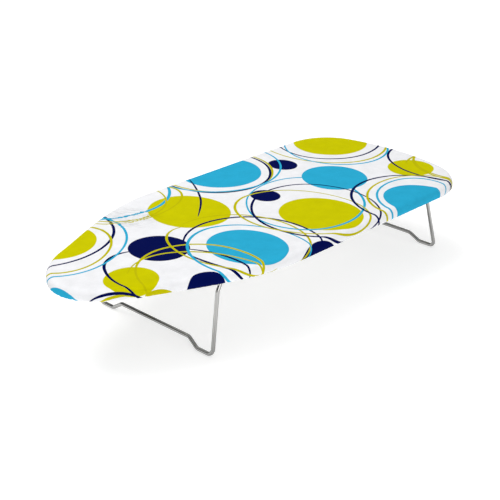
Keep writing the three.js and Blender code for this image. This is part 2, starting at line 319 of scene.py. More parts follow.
# The print's slight waviness: how far it strays, and how quickly that changes over the cloth.
STRAY = 5 * MM
STRAY_SCALE = 9.0
PATCHINESS = 0.6
THREAD_PITCH = 0.45 * MM

# Where the print is broken by creases, in millimetres on the flat cloth and degrees.
CREASE_CENTRE = (-152, 102)
CREASE_REACH = (50, 42)
CREASE_WAY = -62
CREASE_SHIFT = 14 * MM
CREASE_FADE = (0.60, 1.1)
CREASE_LINES = (1.2, 16, 1)
# The creases' painted shade: the width of its dark lines, and how much it darkens the cloth.
FOLD_SHADE_WIDTH = 0.05
FOLD_PAINTED_SHADE = 0.30

INKS = {"lime": LIME, "turquoise": TURQUOISE, "navy": NAVY}
LINE_INKS = {**INKS, "lime": LIME_LINE}


def new_group(name, inputs, output):
    group = bpy.data.node_groups.new(name, "ShaderNodeTree")
    for label, kind in inputs:
        group.interface.new_socket(label, in_out="INPUT", socket_type="NodeSocket" + kind)
    group.interface.new_socket(output, in_out="OUTPUT", socket_type="NodeSocketFloat")
    start = group.nodes.new("NodeGroupInput")
    end = group.nodes.new("NodeGroupOutput")
    return group, start.outputs, end.inputs[output]


def disc_group():
    """Mask of the unit disc."""
    group, given, result = new_group("printed_disc", [("Place", "Vector")], "Mask")
    length = vector_length(group, given["Place"])
    mask = ramp(group, length, 1 - DISC_BLUR, 1 + DISC_BLUR, 1.0, 0.0)
    group.links.new(mask, result)
    return group


def off_circle(group, place):
    """How far a place lies from the unit circle."""
    return calculate(
        group, "ABSOLUTE", calculate(group, "SUBTRACT", vector_length(group, place), 1.0))


def along_way(group, place, way):
    """How far a place lies in the direction given."""
    inputs = {0: place, 1: way}
    return add_node(group, "VectorMath", inputs, operation="DOT_PRODUCT").outputs["Value"]


def ring_group():
    """Mask of a line along the unit circle, wider towards one side."""
    inputs = [("Place", "Vector"), ("Widest", "Vector"), ("Half width", "Float")]
    group, given, result = new_group("printed_ring", inputs, "Mask")
    away = off_circle(group, given["Place"])
    side = along_way(group, given["Place"], given["Widest"])
    swing = calculate(group, "MULTIPLY_ADD", side, LINE_SWING, 1.0)
    swing = calculate(group, "MAXIMUM", swing, 1.0 - LINE_SWING)
    half = calculate(group, "MULTIPLY", swing, given["Half width"])
    share = calculate(group, "DIVIDE", away, half)
    mask = ramp(group, share, 1 - LINE_BLUR, 1 + LINE_BLUR, 1.0, 0.0)
    group.links.new(mask, result)
    return group


def arc_group():
    """Mask of a line along part of the unit circle, tapered towards its two ends."""
    inputs = [("Place", "Vector"), ("Middle", "Vector"), ("Half width", "Float"),
              ("Reach", "Float")]
    group, given, result = new_group("printed_arc", inputs, "Mask")
    away = off_circle(group, given["Place"])
    side = along_way(group, given["Place"], given["Middle"])
    past = calculate(group, "SUBTRACT", side, given["Reach"])
    whole = calculate(group, "SUBTRACT", 1.0, given["Reach"])
    taper = calculate(group, "DIVIDE", past, whole)
    taper = calculate(group, "MAXIMUM", taper, 0.0)
    taper = calculate(group, "POWER", taper, 0.5)
    half = calculate(group, "MULTIPLY", taper, given["Half width"])
    mask = calculate(group, "LESS_THAN", away, half)
    group.links.new(mask, result)
    return group


def motif_place(tree, cloth, centre, radii, tilt=0):
    """Cloth coordinates in which the motif's outline is the unit circle."""
    mapping = add_node(tree, "Mapping", {
        "Vector": cloth,
        "Location": (centre[0] * MM, centre[1] * MM, 0),
        "Rotation": (0, 0, math.radians(tilt)),
        "Scale": (radii[0] * MM, radii[1] * MM, 1),
    }, vector_type="TEXTURE")
    return mapping.outputs[0]


def use_group(tree, group, inputs):
    return add_node(tree, "Group", inputs, node_tree=group).outputs[0]


def unit_vector(degrees):
    angle = math.radians(degrees)
    return math.cos(angle), math.sin(angle), 0


def straying(tree, cloth):
    """Cloth coordinates that wander a little, so that no printed line is perfectly drawn."""
    stray = add_node(tree, "TexNoise", {"Vector": cloth, "Scale": STRAY_SCALE, "Detail": 1.0})
    stray = add_node(tree, "VectorMath", {
        0: stray.outputs["Color"], 1: (0.5, 0.5, 0.5)}, operation="SUBTRACT").outputs[0]
    return vector_sum(tree, cloth, scaled(tree, stray, STRAY))


def creased(tree, cloth):
    """Cloth coordinates nudged along the creases by the far side of the nose, and a mask of painted
    shade along their folds.
    """
    place = motif_place(tree, cloth, CREASE_CENTRE, CREASE_REACH, CREASE_WAY)
    near = ramp(tree, vector_length(tree, place), *CREASE_FADE, 1.0, 0.0)
    lines = add_node(tree, "Mapping", {"Vector": place, "Scale": CREASE_LINES}).outputs[0]
    shift = calculate(tree, "SUBTRACT", noise_at(tree, lines, 1.0, 3.0, 0.6), 0.5)
    # Painted shade: thin dark lines along the creases' folds.
    crease_shade = ramp(tree, calculate(tree, "ABSOLUTE", shift), 0.0, FOLD_SHADE_WIDTH, 1.0, 0.0)
    crease_shade = calculate(tree, "MULTIPLY", crease_shade, near)
    shift = calculate(tree, "MULTIPLY", shift, near)
    shift = calculate(tree, "MULTIPLY", shift, CREASE_SHIFT)
    return vector_sum(tree, cloth, scaled(tree, unit_vector(CREASE_WAY), shift)), crease_shade


def printed_colour(tree, cloth):
    """White cotton with the discs, strokes and rings printed on it, and painted shade in its
    creases.
    """
    disc, ring, stroke = disc_group(), ring_group(), arc_group()
    drawn, crease_shade = creased(tree, straying(tree, cloth))
    patchy = ramp(tree, noise_at(tree, cloth, 45.0, 5.0, 0.65), 0.3, 0.7, 0.90, 1.06)
    colour = opaque(WHITE)
    for name, centre, radii in DISCS:
        mask = use_group(tree, disc, {"Place": motif_place(tree, drawn, centre, radii)})
        colour = mix_colours(tree, mask, colour, opaque(INKS[name]))
    for name, centre, radii, tilt, width, middle, reach in STROKES:
        mask = use_group(tree, stroke, {
            "Place": motif_place(tree, drawn, centre, radii, tilt),
            "Middle": unit_vector(middle - tilt),
            "Half width": width / sum(radii),
            "Reach": math.cos(math.radians(reach)),
        })
        colour = mix_colours(tree, mask, colour, opaque(LINE_INKS[name]))
    for name, centre, radii, tilt, width, way in RINGS:
        mask = use_group(tree, ring, {
            "Place": motif_place(tree, drawn, centre, radii, tilt),
            "Widest": unit_vector(way - tilt),
            "Half width": width / sum(radii),
        })
        colour = mix_colours(tree, mask, colour, opaque(LINE_INKS[name]))
    colour = mix_colours(tree, PATCHINESS, colour, scaled(tree, colour, patchy))
    # Painted shade darkens the cloth along the creases' folds.
    return scaled(tree, colour, calculate(tree, "MULTIPLY_ADD", crease_shade, -FOLD_PAINTED_SHADE, 1.0))


def cotton_material():
    """Printed cotton in a plain weave, with slightly uneven threads and painted shade between them.
    """
    material, tree, shader = new_material(
        "printed_cotton", Roughness=0.85, Specular_IOR_Level=0.02)
    cloth = uv_place(tree, "cloth")
    colour = printed_colour(tree, cloth)
    threads = {"Vector": cloth, "Scale": wave_scale(THREAD_PITCH), "Distortion": 0.0}
    warp, weft = [
        add_node(tree, "TexWave", threads, bands_direction=way).outputs["Fac"]
        for way in ("X", "Y")
    ]
    weave = calculate(tree, "MULTIPLY", warp, weft)
    # Painted shade: the cloth is a little darker between its threads.
    painted_groove_shade = ramp(tree, weave, 0.0, 1.0, 0.95, 1.02)
    feed(tree, shader, Base_Color=scaled(tree, colour, painted_groove_shade))
    slub = noise_at(tree, cloth, 900.0, 2.0)
    soft = add_bump(tree, shader, slub, 0.06 * MM, 0.5)
    add_bump(tree, shader, weave, 0.05 * MM, 0.6, soft)
    return material


# ---- The board's outline ----

CURVE_POINTS = 400
# Stations over which the outline's curvature is averaged. An odd number.
CURVATURE_WINDOW = 41


def bezier(points):
    t = np.linspace(0, 1, CURVE_POINTS, endpoint=False)[:, None]
    a, b, c, d = (np.array(p) for p in points)
    return (1 - t) ** 3 * a + 3 * t * (1 - t) ** 2 * b + 3 * t ** 2 * (1 - t) * c + t ** 3 * d


def arc(centre, radius, start, end):
    angle = np.linspace(start, end, CURVE_POINTS, endpoint=False)
    return np.stack(
        [centre[0] + radius * np.cos(angle), centre[1] + radius * np.sin(angle)], axis=1)


def outline_curve():
    """Fine points of the outline, clockwise from the nose tip, before they are spaced."""
    tail_centre = TAIL_X - NOSE_X - TAIL_RADIUS
    corner_y = HALF_WIDTH - CORNER_RADIUS
    corner_x = tail_centre + math.sqrt((TAIL_RADIUS - CORNER_RADIUS) ** 2 - corner_y ** 2)
    join = math.atan2(corner_y, corner_x - tail_centre)
    left = np.concatenate([
        bezier(NOSE_CURVE),
        bezier(TAPER_CURVE),
        arc((corner_x, corner_y), CORNER_RADIUS, math.pi / 2, join),
        arc((tail_centre, 0), TAIL_RADIUS, join, 0),
        [[tail_centre + TAIL_RADIUS, 0]],
    ])
    right = left[-2:0:-1] * [1, -1]
    return np.concatenate([left, right]) + [NOSE_X, 0]


class Outline:
    """Evenly spaced points round the board, with the normals that point into it."""

    def __init__(self, spacing):
        curve = outline_curve()
        closed = np.concatenate([curve, curve[:1]])
        length = np.concatenate([[0], np.cumsum(np.hypot(*np.diff(closed, axis=0).T))])
        self.length = length[-1]
        self.count = 2 * round(self.length / spacing / 2)
        self.along = np.arange(self.count) * self.length / self.count
        self.points = np.stack(
            [np.interp(self.along, length, closed[:, k]) for k in (0, 1)], axis=1)
        tangent = np.roll(self.points, -1, axis=0) - np.roll(self.points, 1, axis=0)
        tangent /= np.hypot(*tangent.T)[:, None]
        self.inward = np.stack([tangent[:, 1], -tangent[:, 0]], axis=1)
        turn = np.roll(tangent, -1, axis=0) - np.roll(tangent, 1, axis=0)
        curvature = np.hypot(*turn.T) / (2 * self.length / self.count)
        window = np.hanning(CURVATURE_WINDOW)
        side = CURVATURE_WINDOW // 2
        padded = np.concatenate([curvature[-side:], curvature, curvature[:side]])
        self.curvature = np.convolve(padded, window / window.sum(), mode="valid")

    def at(self, inset):
        return self.points + self.inward * inset

    def holds(self, places, inset):
        """Which of the places are inside the outline by more than inset."""
        edge = self.at(inset)
        after = np.roll(edge, -1, axis=0)
        inside = np.zeros(len(places), bool)
        for (ax, ay), (bx, by) in zip(edge, after):
            if ay == by:
                continue
            crosses = (ay > places[:, 1]) != (by > places[:, 1])
            at = ax + (places[:, 1] - ay) * (bx - ax) / (by - ay)
            inside ^= crosses & (places[:, 0] < at)
        return inside


def new_object(name, vertices, faces, material, smooth=True):
    mesh = bpy.data.meshes.new(name)
    mesh.from_pydata([tuple(v) for v in vertices], [], faces)
    mesh.update()
    mesh.materials.append(material)
    mesh.polygons.foreach_set("use_smooth", [smooth] * len(mesh.polygons))
    return link_object(name, mesh)


def fill_faces(ring, inner):
    """Triangles that fill the ring through the inner points, which are numbered after its own."""
    places = [Vector(p) for p in [*ring, *inner]]
    edges = [(i, (i + 1) % len(ring)) for i in range(len(ring))]
    inside_edges, closest = 1, 1e-7
    _, _, faces, *_ = delaunay_2d_cdt(places, edges, [], inside_edges, closest)
    return [list(face) for face in faces]


def staggered_points(outline, inset, step):
    """Evenly spread points well inside the outline."""
    rows = int(HALF_WIDTH / step) + 1
    columns = int((TAIL_X - NOSE_X) / step / 2) + 1
    places = []
    for row in range(-rows, rows + 1):
        for column in range(-columns, columns + 1):
            places.append(((column + row % 2 / 2) * step, row * step * math.sqrt(3) / 2))
    places = np.array(places)
    return places[outline.holds(places, inset)]


def thicken(holder, thickness):
    """Gives a single skin its thickness, on the side away from its normals."""
    solidify = holder.modifiers.new("thickness", "SOLIDIFY")
    solidify.thickness = thickness
    solidify.offset = -1


def add_uv_map(holder, name, places):
    """A UV map that gives each vertex its place."""
    layer = holder.data.uv_layers.new(name=name)
    loops = np.zeros(len(holder.data.loops), int)
    holder.data.loops.foreach_get("vertex_index", loops)
    layer.data.foreach_set("uv", np.array(places, np.float32)[loops].ravel())


def wall_faces(count, rings, start=0):
    """Quads between rings of count points, each ring after the one further in."""
    faces = []
    for ring in range(rings - 1):
        for i in range(count):
            j = (i + 1) % count
            a, b = start + ring * count + i, start + ring * count + j
            faces.append([a, a + count, b + count, b])
    return faces


# ---- The cover ----

ELASTIC_RADIUS = (ELASTIC_HIGH.z - ELASTIC_LOW.z) / 2
ELASTIC_INSET = ELASTIC_LOW.x - NOSE_X + ELASTIC_RADIUS
GATHER_HEIGHT = 0.0011
# The gathers' waves: pitch along the hem, and weight.
GATHER_WAVES = ((0.0078, 1.0), (0.0112, 0.8), (0.0171, 0.6))
# Their drift: the scale of its noise, the level from one wave to the next, and its swing.
DRIFT_SCALE = 14
DRIFT_LEVEL = 7.3
DRIFT_SWING = 5
# Their least depth, and the curvatures between which they grow to their full depth.
LEAST_GATHER = 0.35
GATHERED_CURVES = (1.5, 9.0)
# Where they start and are full, measured from the flat top, and their share at the casing.
GATHER_RANGE = (0.006, 0.024)
CASING_GATHER = 0.4
UNDULATION_FADE = 0.012
# The top's undulations: height, scales along and across the board, and level in the noise.
UNDULATIONS = ((0.35 * MM, 7, 9, 1.7), (0.10 * MM, 26, 30, 4.1))


def section_arc(centre, radius, start, turn):
    """Part of the cover's section. Its function gives the inset, height and outward normal."""
    def place(distance):
        angle = start + distance / radius
        way = (math.cos(angle), math.sin(angle))
        return centre[0] + radius * way[0], centre[1] + radius * way[1], way
    return radius * turn, place


def section_line(start, end, way):
    length = math.dist(start, end)

    def place(distance):
        share = distance / length
        return *(a + (b - a) * share for a, b in zip(start, end)), way
    return length, place


def cover_section():
    """The cover's section from the edge of its flat top, round the frame, to its hem."""
    side_top = TOP - EDGE_RADIUS
    under_z = TUBE_Z - TUBE_INSET
    casing_z = ELASTIC_Z - CASING_RADIUS
    return [
        section_arc((EDGE_RADIUS, side_top), EDGE_RADIUS, math.pi / 2, math.pi / 2),
        section_line((0, side_top), (0, TUBE_Z), (-1, 0)),
        section_arc((TUBE_INSET, TUBE_Z), TUBE_INSET, math.pi, math.pi / 2),
        section_line((TUBE_INSET, under_z), (ELASTIC_INSET, casing_z), (0, -1)),
        section_arc((ELASTIC_INSET, ELASTIC_Z), CASING_RADIUS, 1.5 * math.pi, CASING_TURN),
    ]


SECTION = cover_section()
SECTION_LENGTH = sum(length for length, _ in SECTION)
CASING_START = sum(length for length, _ in SECTION[:-1])


def section_place(distance):
    for length, place in SECTION:
        if distance <= length:
            return place(distance)
        distance -= length
    return SECTION[-1][1](SECTION[-1][0])


def smooth_step(value, low, high):
    share = np.clip((value - low) / (high - low), 0, 1)
    return share * share * (3 - 2 * share)


def gathers(outline):
    """Folds along the hem, deeper where the outline curves. Values run from 0 to 1."""
    wave = np.zeros(outline.count)
    for k, (pitch, weight) in enumerate(GATHER_WAVES):
        turns = round(outline.length / pitch)
        drift = np.array([
            noise.noise(Vector((x * DRIFT_SCALE, y * DRIFT_SCALE, DRIFT_LEVEL * k)))
            for x, y in outline.points])
        angle = 2 * math.pi * (turns * outline.along / outline.length) + DRIFT_SWING * drift
        wave += weight * np.sin(angle)
    wave /= sum(weight for _, weight in GATHER_WAVES)
    depth = LEAST_GATHER + (1 - LEAST_GATHER) * smooth_step(outline.curvature, *GATHERED_CURVES)
    return (0.5 + 0.5 * wave) * depth


def top_undulation(x, y):
    """How far the padded top stands above or below its mean level at a point of the board."""
    return sum(
        height * noise.noise(Vector((x * along, y * across, level)))
        for height, along, across, level in UNDULATIONS)


# Fine creases where the cloth is pulled in from the far side of the nose:
# where each starts, how far it runs, its direction in degrees, and its depth.
PUCKERS = (
    ((-0.212, 0.098), 0.050, -38, 0.7),
    ((-0.190, 0.108), 0.062, -46, 0.9),
    ((-0.173, 0.117), 0.066, -54, 0.8),
    ((-0.157, 0.124), 0.070, -60, 1.0),
    ((-0.146, 0.127), 0.064, -66, 0.9),
    ((-0.133, 0.129), 0.056, -72, 1.0),
    ((-0.119, 0.136), 0.044, -78, 0.7),
)
PUCKER_HEIGHT = 0.0012
PUCKER_WIDTH = 0.0024
PUCKER_STEP = 0.0021
PUCKER_CENTRE = (-0.155, 0.096)
PUCKER_REACH = (0.064, 0.048)
# How much of a crease's length leads up to its start.
PUCKER_LEAD = 0.25


def puckered(places):
    """Which of the places lie where the top needs its finer mesh."""
    offset = (places - PUCKER_CENTRE) / PUCKER_REACH
    return np.hypot(offset[:, 0], offset[:, 1]) < 1


def pucker_height(x, y):
    """How far the creases by the nose stand up at a point of the board."""
    total = 0.0
    for (px, py), length, way, weight in PUCKERS:
        way = math.radians(way)
        along = (x - px) * math.cos(way) + (y - py) * math.sin(way)
        across = -(x - px) * math.sin(way) + (y - py) * math.cos(way)
        along /= length
        across /= PUCKER_WIDTH * (0.8 + 0.7 * max(along, 0))
        if -PUCKER_LEAD < along < 1.0 and abs(across) < 3:
            fade = math.sin(math.pi * (along + PUCKER_LEAD) / (1 + PUCKER_LEAD)) ** 2
            total += weight * fade * math.exp(-across * across)
    return PUCKER_HEIGHT * total


class CoverShape:
    """The outer face of the cover: its flat top, rolled edge, gathered skirt and hem."""

    def __init__(self):
        self.outline = Outline(RIM_STEP)
        self.folds = gathers(self.outline)

    def point(self, station, distance):
        """A place on the rim, by its station round the board and distance from the flat top."""
        inset, height, way = section_place(distance)
        growth = float(smooth_step(distance, *GATHER_RANGE)) * GATHER_HEIGHT
        if distance > CASING_START:
            growth *= CASING_GATHER
        out = self.folds[station] * growth
        inward = self.outline.inward[station]
        x, y = self.outline.points[station] + inward * (inset + out * way[0])
        fade = 1 - float(smooth_step(distance, 0.0, UNDULATION_FADE))
        lift = fade * (top_undulation(x, y) + pucker_height(x, y))
        return x, y, height + out * way[1] + lift


def top_points(outline):
    """Points inside the flat top, closer together where it is creased."""
    points = []
    for step, fine in ((TOP_STEP, False), (PUCKER_STEP, True)):
        spread = staggered_points(outline, EDGE_RADIUS + step * 0.8, step)
        points.append(spread[puckered(spread) == fine])
    return np.concatenate(points)


def add_cover(shape, material):
    """The cotton cover: its top, then rings of points over the edge and round to the hem."""
    outline = shape.outline
    flat_edge = outline.at(EDGE_RADIUS)
    inner = top_points(outline)
    vertices, cloth = [], []
    for x, y in [*flat_edge, *inner]:
        vertices.append((x, y, TOP + top_undulation(x, y) + pucker_height(x, y)))
        cloth.append((x, y))
    faces = fill_faces(flat_edge, inner)
    rim_start = len(vertices)
    rings = round(SECTION_LENGTH / SECTION_STEP)
    for ring in range(1, rings + 1):
        distance = SECTION_LENGTH * ring / rings
        vertices += [shape.point(i, distance) for i in range(outline.count)]
        cloth += [tuple(place) for place in outline.at(EDGE_RADIUS - distance)]
    for i in range(outline.count):
        j = (i + 1) % outline.count
        faces.append([i, rim_start + i, rim_start + j, j])
    faces += wall_faces(outline.count, rings, rim_start)
    cover = new_object("cover_cloth", vertices, faces, material)
    face_up(cover)
    add_uv_map(cover, "cloth", cloth)
    thicken(cover, CLOTH)
    return cover


def face_up(holder):
    """Turns the faces so that the top's point up and the rest agree with them."""
    mesh = bmesh.new()
    mesh.from_mesh(holder.data)
    bmesh.ops.recalc_face_normals(mesh, faces=mesh.faces)
    if max(mesh.faces, key=lambda face: face.calc_center_median().z).normal.z < 0:
        bmesh.ops.reverse_faces(mesh, faces=mesh.faces)
    mesh.to_mesh(holder.data)
    mesh.free()


# ---- The felt pad ----

PAD_RINGS = 9
PAD_STEP = 0.008
PAD_MARGIN = 0.006
DIMPLE = 0.1 * MM
DIMPLE_SCALE = 60


def add_pad(material):
    """A slab of felt with a rounded upper edge, under the cover."""
    outline = Outline(BAR_STEP)
    centre_z = TOP - EDGE_RADIUS
    start = math.asin((PAD_BOTTOM - centre_z) / PAD_RADIUS)
    vertices = []
    for ring in range(PAD_RINGS):
        share = ring / (PAD_RINGS - 1)
        angle = start + (math.pi / 2 - start) * share
        edge = outline.at(EDGE_RADIUS - PAD_RADIUS * math.cos(angle))
        height = centre_z + PAD_RADIUS * math.sin(angle)
        vertices += [(x, y, height + share * top_undulation(x, y)) for x, y in edge]
    count = outline.count
    faces = wall_faces(count, PAD_RINGS)
    inner = staggered_points(outline, EDGE_RADIUS + PAD_MARGIN, PAD_STEP)
    for ring, share in ((0, 0.0), (PAD_RINGS - 1, 1.0)):
        edge = np.array(vertices[ring * count:(ring + 1) * count])
        first = len(vertices)
        number = [*range(ring * count, (ring + 1) * count), *range(first, first + len(inner))]
        faces += [[number[i] for i in face] for face in fill_faces(edge[:, :2], inner)]
        for x, y in inner:
            dimple = DIMPLE * noise.noise(Vector((x * DIMPLE_SCALE, y * DIMPLE_SCALE, share)))
            vertices.append((x, y, edge[0, 2] + share * top_undulation(x, y) + dimple))
    pad = new_object("felt_pad", vertices, faces, material)
    face_up(pad)
    return pad


# ---- The expanded steel mesh ----

# Half of a diamond's two diagonals, and its hole's size as a share of its own.
MESH_HALF_LONG = 0.0070
MESH_HALF_SHORT = 0.0038
MESH_HOLE = 0.70
MESH_RIM_STEP = 0.001


def add_steel_mesh(material):
    """A sheet of flattened expanded steel: diamonds, each with a hole, that share corners."""
    outline = Outline(MESH_RIM_STEP)
    rim = outline.at(TUBE_INSET)
    rows = int(HALF_WIDTH / MESH_HALF_LONG) + 2
    columns = int(TAIL_X / MESH_HALF_SHORT) + 2
    spots = [(i, j) for i in range(-columns, columns + 1) for j in range(-rows, rows + 1)]
    places = np.array([(i * MESH_HALF_SHORT, j * MESH_HALF_LONG) for i, j in spots])
    inside = outline.holds(places, TUBE_INSET)
    corner = {spot: (place, kept) for spot, place, kept in zip(spots, places, inside)}
    height = SHEET_HIGH.z
    vertices, faces, number = [], [], {}

    def shared(spot):
        """The number of the vertex at a spot, drawn in to the rim if the spot is outside it."""
        if spot not in number:
            place, kept = corner[spot]
            if not kept:
                place = rim[np.argmin(np.hypot(*(rim - place).T))]
            number[spot] = len(vertices)
            vertices.append((place[0], place[1], height))
        return number[spot]

    for i, j in spots:
        if (i + j) % 2 == 0:
            continue
        around = [(i + 1, j), (i, j + 1), (i - 1, j), (i, j - 1)]
        whole = all(spot in corner for spot in around)
        if not whole or not any(corner[spot][1] for spot in around):
            continue
        outer = [shared(spot) for spot in around]
        middle = sum((Vector(vertices[k]) for k in outer), Vector()) / 4
        first = len(vertices)
        vertices.extend(tuple(middle.lerp(Vector(vertices[k]), MESH_HOLE)) for k in outer)
        for k in range(4):
            after = (k + 1) % 4
            faces.append([outer[k], outer[after], first + after, first + k])
    sheet = new_object("steel_mesh", vertices, faces, material, smooth=False)
    face_up(sheet)
    thicken(sheet, SHEET_HIGH.z - SHEET_LOW.z)
    return sheet


# ---- Hoops round the board ----

def hoop_mesh(outline, inset, z, radius, sides):
    """Vertices and faces of a round bar round the board, with a radius for each station."""
    vertices = []
    for k in range(sides):
        angle = -2 * math.pi * k / sides
        edge = outline.at((inset + radius * math.cos(angle))[:, None])
        vertices += [(x, y, z + r * math.sin(angle)) for (x, y), r in zip(edge, radius)]
    n = outline.count
    faces = []
    for k in range(sides):
        a, b = k * n, (k + 1) % sides * n
        for i in range(n):
            j = (i + 1) % n
            faces.append([a + i, a + j, b + j, b + i])
    return vertices, faces


def bead_mesh(place, size, first):
    """A weld bead: a small lump of 8 by 4 faces."""
    around, levels = 8, 4
    vertices = [place + Vector((0, 0, -size.z))]
    for level in range(1, levels):
        tilt = -math.pi / 2 + math.pi * level / levels
        for k in range(around):
            turn = 2 * math.pi * k / around
            vertices.append(place + Vector((
                size.x * math.cos(tilt) * math.cos(turn),
                size.y * math.cos(tilt) * math.sin(turn),
                size.z * math.sin(tilt))))
    vertices.append(place + Vector((0, 0, size.z)))
    top = len(vertices) - 1
    faces = []
    for k in range(around):
        after = (k + 1) % around
        faces.append([0, 1 + after, 1 + k])
        faces.append([top, top - around + k, top - around + after])
        for level in range(levels - 2):
            a, b = 1 + level * around + k, 1 + level * around + after
            faces.append([a, b, b + around, a + around])
    return [tuple(v) for v in vertices], [[first + i for i in face] for face in faces]


TUBE_SIDES = 24
CORD_SIDES = 12
BUTT_WELD_HEIGHT = 0.25 * MM
BUTT_WELD_WIDTH = 0.0018
WELD_PITCH = 0.045
BEAD_SIZE = Vector((0.0019, 0.0019, 0.0010))
BEAD_DROP = 0.0006
# How far in from the tube's middle the beads lie, as a share of its radius.
BEAD_INSET = 0.55
ELASTIC_RIPPLE = 0.07
RIPPLE_SCALE = 160


def add_edge_tube(material):
    """The frame's round tube, with its butt weld at the tail and its welds to the mesh."""
    outline = Outline(BAR_STEP)
    tail = outline.length / 2
    weld = np.exp(-((outline.along - tail) / BUTT_WELD_WIDTH) ** 2)
    radius = TUBE_RADIUS + BUTT_WELD_HEIGHT * weld
    vertices, faces = hoop_mesh(outline, TUBE_INSET, TUBE_Z, radius, TUBE_SIDES)
    inner = outline.at(TUBE_INSET + TUBE_RADIUS * BEAD_INSET)
    for i in range(0, outline.count, round(WELD_PITCH / BAR_STEP)):
        place = Vector((*inner[i], SHEET_LOW.z - BEAD_DROP))
        more, sides = bead_mesh(place, BEAD_SIZE, len(vertices))
        vertices += more
        faces += sides
    return new_object("edge_tube", vertices, faces, material)


def add_elastic(material):
    """The covered elastic cord in the hem, with a slight ripple where the cloth bunches."""
    outline = Outline(CORD_STEP)
    ripple = np.array([noise.noise(Vector((s * RIPPLE_SCALE, 0.5, 3))) for s in outline.along])
    radius = ELASTIC_RADIUS * (1 - ELASTIC_RIPPLE + ELASTIC_RIPPLE * ripple)
    vertices, faces = hoop_mesh(outline, ELASTIC_INSET, ELASTIC_Z, radius, CORD_SIDES)
    return new_object("hem_cord", vertices, faces, material)


# ---- Swept pieces ----

def bent_path(corners, steps):
    """Points along a wire: its two ends, and an arc in place of each corner."""
    path = [corners[0][0]]
    for (before, _), (at, bend), (after, _) in zip(corners, corners[1:], corners[2:]):
        back = (before - at).normalized()
        on = (after - at).normalized()
        half = back.angle(on) / 2
        centre = at + (back + on).normalized() * (bend / math.sin(half))
        start = at + back * (bend / math.tan(half)) - centre
        axis = back.cross(start)
        for i in range(steps + 1):
            turn = Matrix.Rotation((math.pi - 2 * half) * i / steps, 3, axis)
            path.append(centre + turn @ start)
    path.append(corners[-1][0])
    return path


def swept_mesh(path, radius, sides, first=0, chamfer=0.0):
    """A round bar along the path with flat ends, and each vertex's place round and along it."""
    along = [0.0]
    for a, b in zip(path, path[1:]):
        along.append(along[-1] + (b - a).length)
    neighbours = zip([path[0], *path], [*path[1:], path[-1]])
    tangents = [(after - before).normalized() for before, after in neighbours]
    side = tangents[0].orthogonal().normalized()
    rings = []
    for point, tangent, s in zip(path, tangents, along):
        side = (side - tangent * side.dot(tangent)).normalized()
        rings.append((point, side, tangent.cross(side), radius, s))
    if chamfer:
        start, *middle, end = rings
        rings = [
            (*start[:3], radius - chamfer, start[4]),
            (start[0] + tangents[0] * chamfer, *start[1:]),
            *middle,
            (end[0] - tangents[-1] * chamfer, *end[1:]),
            (*end[:3], radius - chamfer, end[4]),
        ]
    vertices, places = [], []
    for point, side, other, size, s in rings:
        for k in range(sides):
            angle = 2 * math.pi * k / sides
            vertices.append(tuple(
                point + (side * math.cos(angle) + other * math.sin(angle)) * size))
            places.append((k / sides, s))
    faces = []
    for i in range(len(rings) - 1):
        for k in range(sides):
            a, b = i * sides + k, i * sides + (k + 1) % sides
            faces.append([first + n for n in (a, b, b + sides, a + sides)])
    last = first + (len(rings) - 1) * sides
    faces.append([*range(first, first + sides)][::-1])
    faces.append([*range(last, last + sides)])
    return vertices, faces, places


def leg_corners(name):
    """The wire's corners with their bend radii, from its left pin round to its right pin."""
    side = LEG_SIDES[name]
    pivot = PIVOTS[name]
    low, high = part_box(name)
    foot_x = low.x + WIRE_RADIUS if side < 0 else high.x - WIRE_RADIUS
    rise = pivot.z - CRANK_HEIGHT
    drop = CRANK_HEIGHT - WIRE_RADIUS
    # The splay that brings the foot to its place, starting from a guess and closing in on it.
    splay = SPLAY_GUESS
    for _ in range(SPLAY_ROUNDS):
        crank_x = pivot.x + side * rise * math.tan(splay + CRANK_ANGLE)
        splay = math.atan((foot_x - crank_x) * side / drop)
    bar_x = foot_x - side * (BAR_HEIGHT - WIRE_RADIUS) * math.tan(splay)
    left = [
        ((pivot.x, PIN_INNER, pivot.z), 0),
        ((pivot.x, LEG_HALF_WIDTH, pivot.z), PIN_BEND),
        ((crank_x, LEG_HALF_WIDTH, CRANK_HEIGHT), CRANK_BEND),
        ((foot_x, FOOT_OUTER, WIRE_RADIUS), FOOT_BEND),
        ((foot_x, FOOT_INNER, WIRE_RADIUS), FOOT_BEND),
        ((bar_x, BAR_HALF_WIDTH, BAR_HEIGHT), FOOT_BEND),
    ]
    right = [((x, -y, z), bend) for (x, y, z), bend in reversed(left)]
    return [(Vector(at), bend) for at, bend in left + right]


WIRE_SIDES = 32
BEND_STEPS = 14
WIRE_CHAMFER = 0.5 * MM


def add_leg(name, material):
    path = bent_path(leg_corners(name), BEND_STEPS)
    vertices, faces, places = swept_mesh(path, WIRE_RADIUS, WIRE_SIDES, chamfer=WIRE_CHAMFER)
    leg = new_object(name + "_wire", vertices, faces, material)
    add_uv_map(leg, "wire", places)
    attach(leg, name)
    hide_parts(name)


STITCH_PITCH = 0.0034
STITCH_LENGTH = 0.0024
STITCH_RADIUS = 0.00022
STITCH_DISTANCE = CASING_START - 0.0016
# A stitch's points: shares of its half length, and of its radius above the cloth.
STITCH_SHAPE = ((-1, 1), (-0.6, -0.6), (0.6, -0.6), (1, 1))


